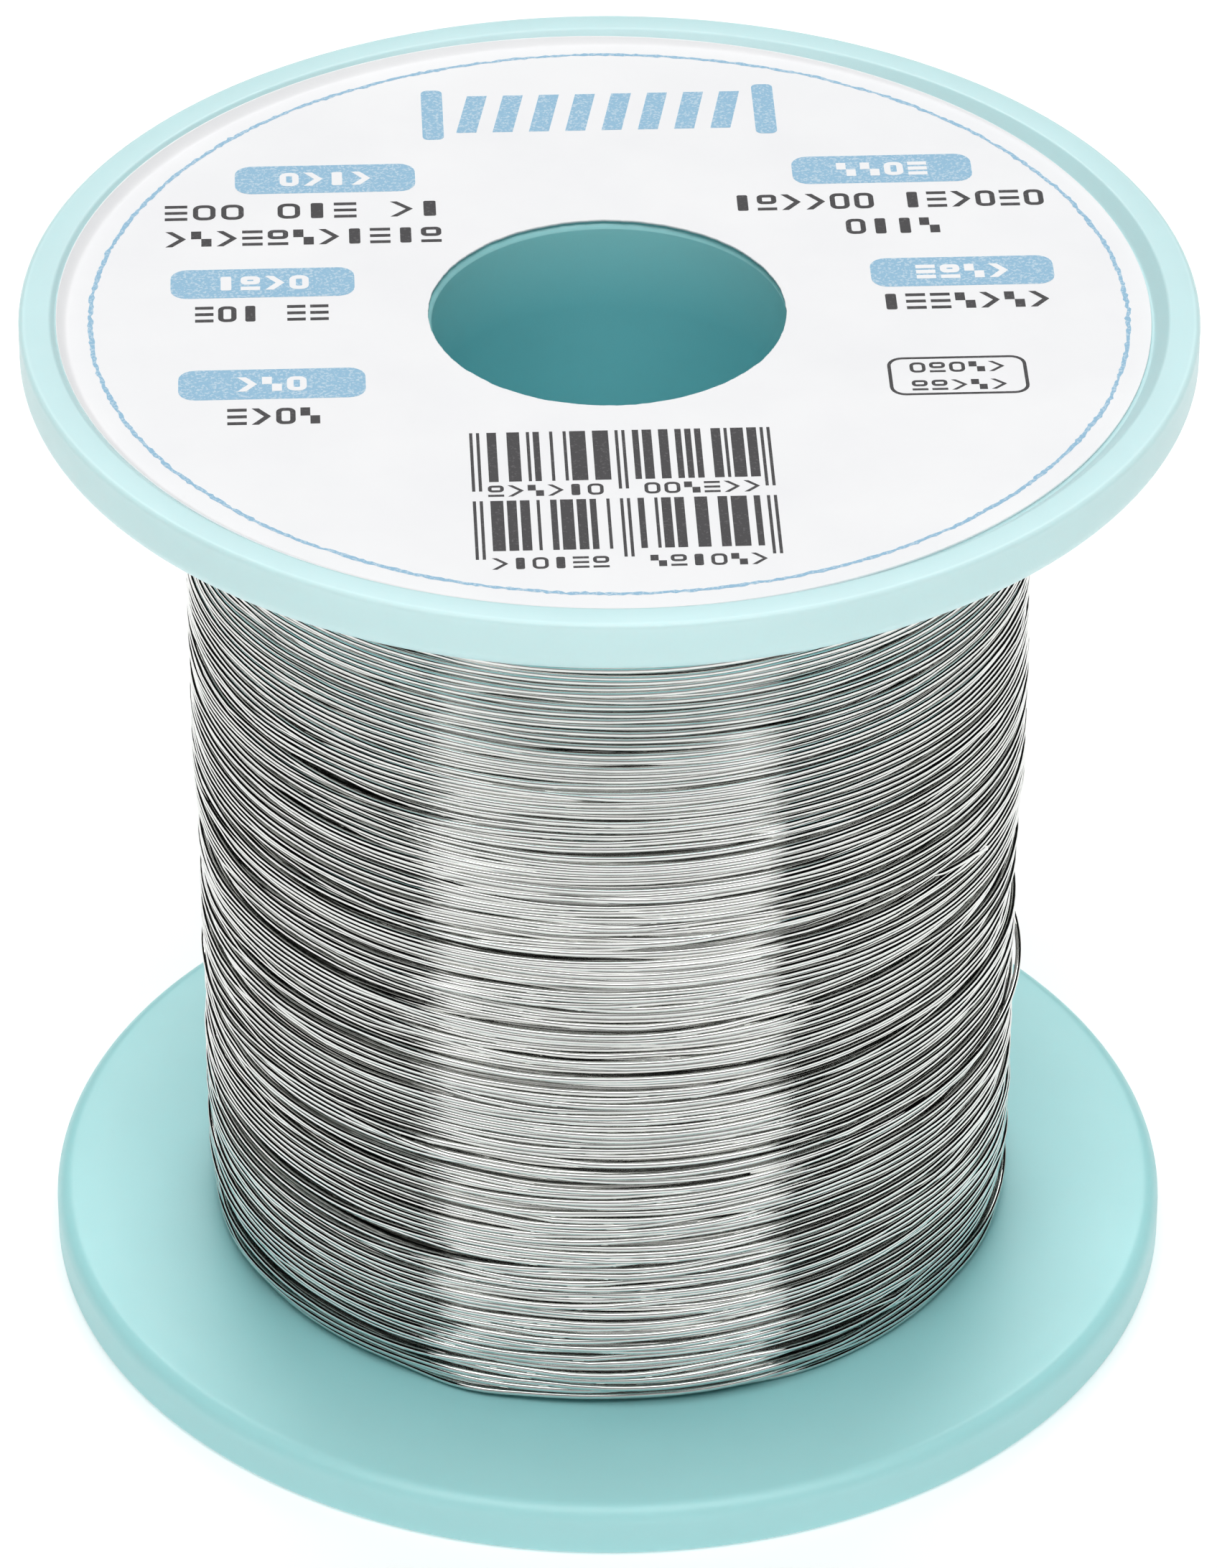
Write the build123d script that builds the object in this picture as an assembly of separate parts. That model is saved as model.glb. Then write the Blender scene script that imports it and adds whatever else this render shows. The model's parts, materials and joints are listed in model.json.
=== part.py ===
from build123d import *
import math
import os

# Spool of thin solder wire, standing on its lower flange.
# Millimetres. Origin: centre of the bottom rim. +Z: up along the spindle bore.

# --- driving dimensions -------------------------------------------------------
overall_height = 50.8
flange_radius = 26.5
bore_radius = 8.0

# flanges
flange_thickness = 2.5
outer_edge_radius = 0.25    # rounding of the rim's edge on the end face
inner_edge_radius = 0.8     # rounding of the rim's edge on the side of the wire
recess_depth = 0.6          # label recess, below the top of the rim
recess_floor_radius = 24.45
recess_mouth_radius = 25.1
recess_lip_radius = 0.25    # rounding where the rim turns into the recess
mouth_chamfer = 0.3         # chamfer at each mouth of the bore

# hub
barrel_radius = 15.0
barrel_wall = 1.8
bore_tube_wall = 1.6
rib_count = 6
rib_thickness = 1.2
rib_setback = 1.0           # how far the ribs stop short of the joint
spigot_length = 4.0
joint_clearance = 0.05

# start hole for the inner end of the wire, through the barrel near the lower flange
start_hole_radius = 0.8
start_hole_height = 4.4

# labels
paper_thickness = 0.12
label_radius = 24.58
label_hole_radius = 8.2
label_shift = 0.38          # how far the label sits off centre, towards -X

# wire
wire_radius = 0.15
inner_layers_radius = 18.78
winding_radius_foot = 18.95     # at the lower flange, where the turns sink in
winding_radius_lower = 19.2     # below the end of the last layer
winding_radius_upper = 19.4     # above it
winding_radius_crest = 19.55    # at the upper flange, where the turns pile up
foot_height = 2.5               # how far up the turns sink in
crest_height = 2.5              # how far down they pile up
last_layer_end = 25.2           # height at which the last layer stops
wire_clearance = 0.03       # between the winding and the plastic
slack_turn_height = 15.6    # height of the slack stretch that rides on the winding
slack_turn_angle = 140      # degrees of arc that it covers, centred on +X
slack_turn_tilt = 0.6       # degrees, tilt of that stretch
slack_turn_lift = 0.1       # how far it stands off the turns below it
tail_length = 7.0           # inner end of the wire, inside the hub

# --- sizes that follow ---------------------------------------------------------
mid_height = overall_height / 2
barrel_inner_radius = barrel_radius - barrel_wall
tube_outer_radius = bore_radius + bore_tube_wall
spigot_radius = barrel_inner_radius + barrel_wall / 2 - joint_clearance
socket_radius = spigot_radius + joint_clearance
wire_bottom = flange_thickness + wire_clearance
wire_top = overall_height - wire_bottom
upright = (Align.CENTER, Align.CENTER, Align.MIN)


def polygon_ring(points):
    """Solid of revolution about Z from an outline of (radius, height) points."""
    with BuildPart() as ring:
        with BuildSketch(Plane.XZ):
            with BuildLine():
                Polyline(*points, close=True)
            make_face()
        revolve(axis=Axis.Z)
    return ring.part


def flange_outline():
    """Half section of a flange lying on its rim: rim, label recess and flat inner face."""
    with BuildSketch(Plane.XZ) as outline:
        with BuildLine():
            Polyline(
                (bore_radius, recess_depth),
                (recess_floor_radius, recess_depth),
                (recess_mouth_radius, 0),
                (flange_radius, 0),
                (flange_radius, flange_thickness),
                (bore_radius, flange_thickness),
                close=True,
            )
        make_face()
        corners = outline.vertices()
        edge_corners = corners.filter_by(lambda v: abs(v.X - flange_radius) < 1e-6).sort_by(Axis.Y)
        lip_corner = corners.filter_by(lambda v: abs(v.X - recess_mouth_radius) < 1e-6)
        fillet(edge_corners[0], outer_edge_radius)
        fillet(edge_corners[1], inner_edge_radius)
        fillet(lip_corner, recess_lip_radius)
    return outline.sketch


def half_body(barrel_top, tube_top, rib_top):
    """Flange, barrel, bore tube and ribs of one half, standing on its rim."""
    wall_base = flange_thickness / 2
    rib_span = barrel_inner_radius - tube_outer_radius + barrel_wall / 2
    rib_centre = (barrel_inner_radius + tube_outer_radius) / 2
    with BuildPart() as half:
        add(flange_outline())
        revolve(axis=Axis.Z)
        with Locations((0, 0, wall_base)):
            Cylinder(barrel_radius, barrel_top - wall_base, align=upright)
        with Locations((0, 0, flange_thickness)):
            Cylinder(barrel_inner_radius, barrel_top, align=upright, mode=Mode.SUBTRACT)
        with Locations((0, 0, wall_base)):
            Cylinder(tube_outer_radius, tube_top - wall_base, align=upright)
            with PolarLocations(rib_centre, rib_count, start_angle=180 / rib_count):
                Box(rib_span, rib_thickness, rib_top - wall_base, align=upright)
        Cylinder(bore_radius, 3 * overall_height, mode=Mode.SUBTRACT)
        bore_edges = half.edges().filter_by(GeomType.CIRCLE).filter_by(
            lambda e: abs(e.radius - bore_radius) < 1e-6)
        chamfer(bore_edges.sort_by(Axis.Z)[0], mouth_chamfer)
    return half.part


def lower_spool_half():
    """Half that carries the spigot of the plug joint and the wire's start hole."""
    body = half_body(mid_height + spigot_length, mid_height, mid_height - rib_setback)
    outside = Cylinder(2 * barrel_radius, 2 * spigot_length, align=upright)
    spigot = Cylinder(spigot_radius, 2 * spigot_length, align=upright)
    hole = Rot(0, 90, 0) * Cylinder(start_hole_radius, 4 * barrel_wall)
    body = body - Pos(0, 0, mid_height) * (outside - spigot)
    return body - Pos(barrel_radius, 0, start_hole_height) * hole


def upper_spool_half():
    """Half with the socket: modelled standing on its rim, then turned over."""
    socket_depth = spigot_length + 2 * joint_clearance
    body = half_body(mid_height, mid_height - joint_clearance, mid_height - socket_depth - rib_setback)
    socket = Cylinder(socket_radius, 2 * socket_depth, align=upright)
    tube = Cylinder(tube_outer_radius + joint_clearance, 2 * socket_depth, align=upright)
    body = body - Pos(0, 0, mid_height - socket_depth) * (socket - tube)
    return Pos(0, 0, overall_height) * Rot(180, 0, 0) * body


def label(shift):
    """Paper disc for a recess that opens downwards, its margin bent along the recess wall."""
    wall_run = recess_mouth_radius - recess_floor_radius
    wall_angle = math.atan2(recess_depth, wall_run)
    margin = 0.6 * wall_run
    margin_rise = margin * math.tan(wall_angle)
    across = paper_thickness * math.sin(wall_angle)
    up = paper_thickness * math.cos(wall_angle)
    inner_corner = recess_floor_radius - paper_thickness * math.tan(wall_angle / 2)
    sheet = polygon_ring([
        (label_hole_radius, recess_depth),
        (recess_floor_radius, recess_depth),
        (recess_floor_radius + margin, recess_depth - margin_rise),
        (recess_floor_radius + margin - across, recess_depth - margin_rise - up),
        (inner_corner, recess_depth - paper_thickness),
        (label_hole_radius, recess_depth - paper_thickness),
    ])
    trim = Pos(shift, 0, 0) * Cylinder(label_radius, 4 * recess_depth)
    return sheet & trim


def wire_inner_layers():
    """All layers but the outermost, packed into one sleeve."""
    inner = barrel_radius + wire_clearance
    return polygon_ring([
        (inner, wire_bottom),
        (inner_layers_radius, wire_bottom),
        (inner_layers_radius, wire_top),
        (inner, wire_top),
    ])


def wire_outer_layer():
    """The outermost turns, with the step where the last layer stops half way down."""
    half_step = wire_radius / 2
    return polygon_ring([
        (inner_layers_radius, wire_bottom),
        (winding_radius_foot, wire_bottom),
        (winding_radius_lower, wire_bottom + foot_height),
        (winding_radius_lower, last_layer_end - half_step),
        (winding_radius_upper, last_layer_end + half_step),
        (winding_radius_upper, wire_top - crest_height),
        (winding_radius_crest, wire_top - crest_height / 2),
        (winding_radius_crest, wire_top),
        (inner_layers_radius, wire_top),
    ])


def wire_slack_turn():
    """Slack stretch of the last turn, riding on the outermost layer on the +X side."""
    turn_radius = winding_radius_lower + slack_turn_lift + wire_radius
    with BuildPart() as turn:
        with BuildLine():
            path = CenterArc((0, 0, 0), turn_radius, -slack_turn_angle / 2, slack_turn_angle)
        with BuildSketch(Plane(origin=path @ 0, z_dir=path % 0)):
            Circle(wire_radius)
        sweep()
    return Pos(0, 0, slack_turn_height) * Rot(slack_turn_tilt, 0, 0) * turn.part


def wire_start_tail():
    """Inner end of the wire: from the first turn through the start hole into the hub."""
    start = barrel_radius + wire_clearance
    inside = barrel_inner_radius - 1.2
    with BuildPart() as tail:
        with BuildLine() as path:
            FilletPolyline(
                (start, 0, start_hole_height),
                (inside, 0, start_hole_height),
                (inside, 0, start_hole_height + tail_length),
                radius=0.9,
            )
        with BuildSketch(Plane(origin=path.line @ 0, z_dir=path.line % 0)):
            Circle(wire_radius)
        sweep(transition=Transition.ROUND)
    return tail.part


def bottom_label():
    return label(0)


def top_label():
    return Pos(0, 0, overall_height) * Rot(0, 180, 0) * label(label_shift)


parts = {
    "lower_spool_half": lower_spool_half,
    "upper_spool_half": upper_spool_half,
    "bottom_label": bottom_label,
    "top_label": top_label,
    "wire_inner_layers": wire_inner_layers,
    "wire_outer_layer": wire_outer_layer,
    "wire_slack_turn": wire_slack_turn,
    "wire_start_tail": wire_start_tail,
}

os.makedirs("parts", exist_ok=True)
for name, make in parts.items():
    shape = make()
    export_step(shape, f"parts/{name}.step")
    print(name, round(shape.volume, 2), "mm3")
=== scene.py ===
import json
import math
import random
from collections import namedtuple

import bpy
import numpy as np
from mathutils import Matrix, Vector


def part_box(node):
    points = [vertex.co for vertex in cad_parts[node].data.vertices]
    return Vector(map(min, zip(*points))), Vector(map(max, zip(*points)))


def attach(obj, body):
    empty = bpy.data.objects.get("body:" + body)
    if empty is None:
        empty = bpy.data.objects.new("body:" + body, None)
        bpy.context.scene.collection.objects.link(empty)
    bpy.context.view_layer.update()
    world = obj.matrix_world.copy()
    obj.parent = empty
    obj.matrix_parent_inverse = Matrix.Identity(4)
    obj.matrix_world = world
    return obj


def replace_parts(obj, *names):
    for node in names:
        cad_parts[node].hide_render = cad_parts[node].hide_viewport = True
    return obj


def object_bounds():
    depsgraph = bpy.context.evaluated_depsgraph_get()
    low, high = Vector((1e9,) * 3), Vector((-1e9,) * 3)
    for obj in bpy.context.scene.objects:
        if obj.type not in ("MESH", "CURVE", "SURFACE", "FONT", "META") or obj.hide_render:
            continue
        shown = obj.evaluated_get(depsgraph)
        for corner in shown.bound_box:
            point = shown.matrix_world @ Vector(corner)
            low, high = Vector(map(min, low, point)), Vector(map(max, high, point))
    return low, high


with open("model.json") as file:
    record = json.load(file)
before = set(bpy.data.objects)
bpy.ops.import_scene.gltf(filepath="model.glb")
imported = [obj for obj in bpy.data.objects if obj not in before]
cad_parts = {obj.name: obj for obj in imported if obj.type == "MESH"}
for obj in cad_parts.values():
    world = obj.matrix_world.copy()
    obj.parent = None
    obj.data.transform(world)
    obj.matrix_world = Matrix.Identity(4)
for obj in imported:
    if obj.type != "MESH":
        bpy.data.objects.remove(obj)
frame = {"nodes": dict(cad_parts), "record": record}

cad_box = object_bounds()
MM = 0.001

# ---------------------------------------------------------------------------
# Sizes, in millimetres. What the frame knows comes from the frame.
# ---------------------------------------------------------------------------
half_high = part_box("upper_spool_half")[1] / MM
outer_low, outer_high = (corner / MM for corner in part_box("wire_outer_layer"))
label_low, label_high = (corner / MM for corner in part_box("top_label"))
bore = next(m["dims"] for m in frame["record"]["mounts"] if m["name"] == "spindle_bore")

# spool
HEIGHT = half_high.z
MID = HEIGHT / 2
FLANGE_R = half_high.x
BORE_R = bore["r_mm"]
MOUTH_CHAMFER = 0.3
RECESS = (HEIGHT - bore["length_mm"]) / 2 - MOUTH_CHAMFER   # depth of the label recess
PLATE = round(outer_low.z, 1)                               # thickness of a flange
OUTER_EDGE = 0.25               # rounding of the rim on the end face
INNER_EDGE = 0.8                # rounding of the rim on the side of the wire
RECESS_FLOOR_R = 24.45
RECESS_MOUTH_R = 25.1
RECESS_LIP = 0.25               # rounding where the rim turns into the recess
BARREL_R = 15.0
BARREL_FOOT = 0.3               # fillet between barrel and flange
BARREL_WALL = 1.8
TUBE_WALL = 1.6
SPIGOT = 4.0                    # length of the plug joint between the halves
JOINT_GAP = 0.05
OUT_OF_ROUND = 0.02             # how far a moulded flange strays from a circle

# labels
PAPER = 0.12
LABEL_R = label_high.y
LABEL_SHIFT = Vector((label_low.x + LABEL_R, 0.18))
LABEL_HOLE_R = 8.05
LABEL_HOLE_SHIFT = Vector((-0.09, 0.03))
PRINT_TURN = math.radians(2.5)
INK = 0.006                     # thickness of the ink

# wire
WIRE = 0.3
WINDING_BOTTOM = round(outer_low.z, 2)
WINDING_TOP = round(outer_high.z, 2)
WINDING_CREST = 0.25            # how much fuller the winding is at the upper flange
WINDING_R = round(outer_high.x - WINDING_CREST, 2)
LOWEST_TURN = WINDING_BOTTOM + WIRE / 2
HIGHEST_TURN = WINDING_TOP - WIRE / 2
LAID_DEPTH = 1.42               # how deep the laid layers go below the winding's surface
CREST_START = 45.4              # height where the winding gets fuller
CREST_RUN = 0.9
CREST_RISE = 0.18               # how much fuller the layers below are there
HOLLOW_HEIGHT = 4.6             # height where the layers below are thin, near the lower flange
HOLLOW_REACH = 0.9
HOLLOW_DEPTH = 0.14
LAST_LAYER_END = 25.2           # height where the last layer stops, on its way down
LIMIT_DROP = 0.16               # how far inside the winding's radius turns are pressed below it
LIMIT_STEP = 0.14               # how much less they are above it
LIMIT_CREST = 0.2               # and how much less again at the upper flange

ROUND = 384                     # segments round a lathed piece
TURN_STEPS = 144                # points on one turn of wire


# ---------------------------------------------------------------------------
# Mesh helpers
# ---------------------------------------------------------------------------
def mesh_piece(name, verts, faces, material, smooth=True):
    """A new piece on the root body, from points in millimetres."""
    mesh = bpy.data.meshes.new(name)
    verts = np.asarray(verts, float) * MM
    faces = np.asarray(faces, np.int32)
    mesh.vertices.add(len(verts))
    mesh.vertices.foreach_set("co", verts.astype(np.float32).ravel())
    corners = faces.shape[1]
    mesh.loops.add(faces.size)
    mesh.loops.foreach_set("vertex_index", faces.ravel())
    mesh.polygons.add(len(faces))
    mesh.polygons.foreach_set("loop_start", np.arange(0, faces.size, corners, dtype=np.int32))
    mesh.polygons.foreach_set("use_smooth", np.full(len(faces), smooth))
    mesh.update(calc_edges=True)
    mesh.validate()
    piece = bpy.data.objects.new(name, mesh)
    bpy.context.scene.collection.objects.link(piece)
    mesh.materials.append(material)
    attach(piece, "root")
    return piece


def arc(centre, radius, start, end, steps):
    """Points on an arc in the (radius, height) plane; angles in degrees."""
    angles = np.radians(np.linspace(start, end, steps + 1))
    return [(centre[0] + radius * math.cos(a), centre[1] + radius * math.sin(a)) for a in angles]


def straight(start, end, steps):
    """Points from start up to but not including end."""
    return [(start[0] + (end[0] - start[0]) * i / steps, start[1] + (end[1] - start[1]) * i / steps)
            for i in range(steps)]


def lathe(name, outline, material, wobble):
    """Closed solid of revolution about Z from a closed outline of (radius, height)."""
    outline = np.array(outline, float)
    angles = np.linspace(0, 2 * math.pi, ROUND, endpoint=False)[:, None]
    radius = np.tile(outline[:, 0], (ROUND, 1))
    height = np.tile(outline[:, 1], (ROUND, 1))
    radius = radius + wobble(angles, radius)
    verts = np.stack([radius * np.sin(angles), -radius * np.cos(angles), height], axis=-1)
    count = len(outline)
    i, j = np.meshgrid(np.arange(ROUND), np.arange(count), indexing="ij")
    k, m = (i + 1) % ROUND, (j + 1) % count
    faces = np.stack([i * count + j, k * count + j, k * count + m, i * count + m], axis=-1)
    return mesh_piece(name, verts.reshape(-1, 3), faces.reshape(-1, 4), material)


# ---------------------------------------------------------------------------
# Materials
# ---------------------------------------------------------------------------
class Nodes:
    """A node material with its Principled shader, and short calls to add nodes."""

    def __init__(self, name):
        self.material = bpy.data.materials.new(name)
        self.material.use_nodes = True
        self.tree = self.material.node_tree
        self.shader = self.tree.nodes["Principled BSDF"]
        self.coords = self.add("ShaderNodeTexCoord").outputs["Object"]

    def add(self, kind, **values):
        """A new node, with values for its properties or its inputs."""
        node = self.tree.nodes.new(kind)
        for key, value in values.items():
            if hasattr(node, key) and key not in node.inputs:
                setattr(node, key, value)
            else:
                node.inputs[key].default_value = value
        return node

    def link(self, output, target):
        self.tree.links.new(output, target)

    def noise(self, scale, detail=3.0, roughness=0.5, stretch=None):
        """Noise texture output; scale is in features per metre."""
        node = self.add("ShaderNodeTexNoise", Scale=scale, Detail=detail, Roughness=roughness)
        vector = self.coords
        if stretch is not None:
            mapping = self.add("ShaderNodeMapping", Scale=stretch)
            self.link(vector, mapping.inputs["Vector"])
            vector = mapping.outputs["Vector"]
        self.link(vector, node.inputs["Vector"])
        return node.outputs["Fac"]

    def ramp(self, source, stops):
        """Colour ramp through (position, colour) stops."""
        node = self.add("ShaderNodeValToRGB")
        elements = node.color_ramp.elements
        while len(elements) < len(stops):
            elements.new(0.5)
        for element, (position, colour) in zip(elements, stops):
            element.position = position
            element.color = (*colour, 1.0)
        self.link(source, node.inputs["Fac"])
        return node.outputs["Color"]

    def span(self, source, start, end):
        """How far a length in metres has come from start to end, in millimetres: 0 to 1."""
        node = self.add("ShaderNodeMapRange")
        node.inputs["From Min"].default_value = start * MM
        node.inputs["From Max"].default_value = end * MM
        self.link(source, node.inputs["Value"])
        return node.outputs["Result"]

    def scaled(self, source, low, high):
        """The source, from 0 to 1, mapped onto low to high."""
        node = self.add("ShaderNodeMapRange")
        node.inputs["To Min"].default_value = low
        node.inputs["To Max"].default_value = high
        self.link(source, node.inputs["Value"])
        return node.outputs["Result"]

    def bump(self, layers):
        """Bump from (height, distance in millimetres, strength) layers, one on another."""
        normal = None
        for source, distance, strength in layers:
            node = self.add("ShaderNodeBump", Strength=strength, Distance=distance * MM)
            self.link(source, node.inputs["Height"])
            if normal is not None:
                self.link(normal, node.inputs["Normal"])
            normal = node.outputs["Normal"]
        self.link(normal, self.shader.inputs["Normal"])


def plastic_tint_with_painted_light(n, hub, hub_reach, rim, edge, mouth, mouth_height):
    """Colour of the plastic by radius from hub to edge, with painted shade and light: darker towards the
    hub (painted shade in the bore, under the flanges and next to the winding), another tone at the rim's
    outer edge (painted light on the rim's side), and paler at the mouth of the bore (painted light).
    """
    flat = n.add("ShaderNodeVectorMath", operation="MULTIPLY")
    flat.inputs[1].default_value = (1, 1, 0)
    n.link(n.coords, flat.inputs[0])
    length = n.add("ShaderNodeVectorMath", operation="LENGTH")
    n.link(flat.outputs["Vector"], length.inputs[0])
    radius = length.outputs["Value"]
    split = n.add("ShaderNodeSeparateXYZ")
    n.link(n.coords, split.inputs["Vector"])
    outward = n.span(radius, BARREL_R, FLANGE_R)
    in_bore = n.span(radius, BORE_R + 1, BORE_R)
    # paler near the mouth of the bore: painted light where light falls into the bore
    near_mouth = n.span(split.outputs["Z"], MID + 0.8 * (mouth_height - MID), mouth_height)
    painted_mouth_light = n.add("ShaderNodeMath", operation="MULTIPLY")
    n.link(in_bore, painted_mouth_light.inputs[0])
    n.link(near_mouth, painted_mouth_light.inputs[1])
    # hub to rim to edge: the darker hub is painted shade, the edge tone is painted light on the rim's
    # outer side
    shade_and_light_by_radius = n.ramp(outward, [(hub_reach, hub), (0.82, rim), (0.97, rim), (1.0, edge)])
    # a Mix node's sockets share their names, so its two colours and its result go by number
    first, second, result = 6, 7, 2
    tint = n.add("ShaderNodeMix", data_type="RGBA")
    n.link(painted_mouth_light.outputs["Value"], tint.inputs["Factor"])
    n.link(shade_and_light_by_radius, tint.inputs[first])
    tint.inputs[second].default_value = (*mouth, 1)
    return tint.outputs[result]


def plastic_material(name, **tints):
    """Moulded styrene: aqua and satin, with faint flow marks and a fine grain."""
    n = Nodes(name)
    flow = n.noise(110, detail=4.0, roughness=0.6, stretch=(1, 1, 2.5))
    shade = n.add("ShaderNodeHueSaturation")
    n.link(plastic_tint_with_painted_light(n, **tints), shade.inputs["Color"])
    n.link(n.scaled(flow, 0.95, 1.04), shade.inputs["Value"])
    n.link(shade.outputs["Color"], n.shader.inputs["Base Color"])
    grain = n.noise(9000, detail=2.0)
    n.link(n.scaled(n.noise(900, detail=3.0), 0.30, 0.44), n.shader.inputs["Roughness"])
    n.bump([(flow, 0.05, 0.25), (grain, 0.01, 0.35)])
    n.shader.inputs["IOR"].default_value = 1.55
    n.shader.inputs["Subsurface Weight"].default_value = 0.25
    n.shader.inputs["Subsurface Radius"].default_value = (0.6, 1.0, 1.0)
    n.shader.inputs["Subsurface Scale"].default_value = 0.0015
    return n.material


def paper_material():
    """Coated label paper: cool white, with fibres under the coating."""
    n = Nodes("label_paper")
    fibres = n.noise(2600, detail=6.0, roughness=0.65)
    mottle = n.noise(160, detail=3.0)
    tint = n.ramp(mottle, [(0.3, (0.815, 0.818, 0.832)), (0.75, (0.855, 0.857, 0.864))])
    n.link(tint, n.shader.inputs["Base Color"])
    n.link(n.scaled(fibres, 0.42, 0.6), n.shader.inputs["Roughness"])
    n.bump([(fibres, 0.02, 0.35), (mottle, 0.04, 0.3)])
    n.shader.inputs["Specular IOR Level"].default_value = 0.35
    return n.material


def ink_material(name, ink, gap, gap_share):
    """Printed ink with small paler pinholes."""
    n = Nodes(name)
    specks = n.noise(7000, detail=2.0, roughness=0.7)
    edge = 0.5 + gap_share
    tint = n.ramp(specks, [(edge - 0.06, ink), (edge + 0.06, gap)])
    n.link(tint, n.shader.inputs["Base Color"])
    n.link(n.scaled(specks, 0.45, 0.6), n.shader.inputs["Roughness"])
    n.bump([(specks, 0.01, 0.3)])
    n.shader.inputs["Specular IOR Level"].default_value = 0.35
    return n.material


def solder_material():
    """Drawn tin alloy wire: bright, with fine streaks along the turns and a few dull patches."""
    n = Nodes("solder")
    streaks = n.noise(5200, detail=3.0, roughness=0.6, stretch=(0.06, 0.06, 1.0))
    patches = n.noise(420, detail=4.0, roughness=0.6)
    tint = n.ramp(patches, [(0.3, (0.685, 0.69, 0.67)), (0.6, (0.755, 0.76, 0.738))])
    n.link(tint, n.shader.inputs["Base Color"])
    n.link(n.scaled(streaks, 0.02, 0.07), n.shader.inputs["Roughness"])
    n.bump([(streaks, 0.002, 0.1)])
    n.shader.inputs["Metallic"].default_value = 1.0
    return n.material


# the two halves are one plastic: their hub, rim and edge tones differ to paint the light and shade that
# fall on each, and mouth is painted light near the bore's mouth
upper_plastic = plastic_material(
    "upper_plastic", hub=(0.255, 0.69, 0.73), hub_reach=0.6, rim=(0.53, 0.765, 0.78),
    edge=(0.66, 0.91, 0.915), mouth=(0.46, 0.94, 0.95), mouth_height=HEIGHT)
lower_plastic = plastic_material(
    "lower_plastic", hub=(0.33, 0.74, 0.76), hub_reach=0.0, rim=(0.455, 0.85, 0.86),
    edge=(0.45, 0.82, 0.83), mouth=(0.46, 0.94, 0.95), mouth_height=0)
paper = paper_material()
blue_ink = ink_material("blue_ink", ink=(0.26, 0.47, 0.64), gap=(0.47, 0.62, 0.73), gap_share=0.06)
black_ink = ink_material(
    "black_ink", ink=(0.035, 0.033, 0.036), gap=(0.09, 0.085, 0.09), gap_share=0.12)
solder = solder_material()


# ---------------------------------------------------------------------------
# Spool halves
# ---------------------------------------------------------------------------
def flange_outline():
    """Outline of a flange that lies on its rim, from the bore mouth out to the barrel's foot."""
    wall = math.atan2(RECESS, RECESS_MOUTH_R - RECESS_FLOOR_R)
    lip_reach = RECESS_LIP * math.tan(wall / 2)
    lip_centre = (RECESS_MOUTH_R + lip_reach, RECESS_LIP)
    lip_start = 270 - math.degrees(wall)
    mouth = BORE_R + MOUTH_CHAMFER
    foot = BARREL_R + BARREL_FOOT
    points = [(mouth, RECESS), (mouth + 0.04, RECESS)]
    points += straight((mouth + 0.2, RECESS), (RECESS_FLOOR_R, RECESS), 12)
    points += [(RECESS_FLOOR_R - 0.02, RECESS), (RECESS_FLOOR_R + 0.03, RECESS - 0.03)]
    points += arc(lip_centre, RECESS_LIP, lip_start, 270, 6)
    points += arc((FLANGE_R - OUTER_EDGE, OUTER_EDGE), OUTER_EDGE, 270, 360, 8)
    points += arc((FLANGE_R - INNER_EDGE, PLATE - INNER_EDGE), INNER_EDGE, 0, 90, 12)
    points += straight((FLANGE_R - INNER_EDGE - 0.3, PLATE), (foot, PLATE), 10)
    points += arc((foot, PLATE + BARREL_FOOT), BARREL_FOOT, 270, 180, 5)
    return points


def hub_outline(barrel_steps, tube_top):
    """The rest of the outline: up the barrel, over its end, and back down the bore tube."""
    inner = BARREL_R - BARREL_WALL
    tube = BORE_R + TUBE_WALL
    mouth = RECESS + MOUTH_CHAMFER
    points = list(barrel_steps)
    points += straight((inner, barrel_steps[-1][1]), (inner, PLATE), 6)
    points += [(inner, PLATE), (tube, PLATE)]
    points += straight((tube, PLATE + 0.2), (tube, tube_top), 6)
    points += [(tube, tube_top)]
    points += straight((BORE_R, tube_top), (BORE_R, mouth + 0.05), 24)
    points += [(BORE_R, mouth + 0.05), (BORE_R, mouth)]
    return points


def mould_wobble(angles, radius):
    """How a moulded flange is slightly oval, always inside its true circle; the hub stays round."""
    share = np.clip((radius - BARREL_R) / (FLANGE_R - BARREL_R), 0, 1)
    return -OUT_OF_ROUND * share * (1 + np.cos(2 * angles + 0.6)) / 2


plug_r = BARREL_R - BARREL_WALL / 2
lower_steps = [(BARREL_R, MID), (plug_r - JOINT_GAP, MID), (plug_r - JOINT_GAP, MID + SPIGOT)]
upper_steps = [(BARREL_R, MID), (plug_r, MID), (plug_r, MID - SPIGOT - 2 * JOINT_GAP)]
lower_outline = flange_outline() + hub_outline(lower_steps, MID)
upper_outline = flange_outline() + hub_outline(upper_steps, MID - JOINT_GAP)
upper_outline = [(r, HEIGHT - z) for r, z in reversed(upper_outline)]

lower_half = lathe("lower_spool_half_moulding", lower_outline, lower_plastic, mould_wobble)
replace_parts(lower_half, "lower_spool_half")
upper_half = lathe("upper_spool_half_moulding", upper_outline, upper_plastic, mould_wobble)
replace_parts(upper_half, "upper_spool_half")


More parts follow.
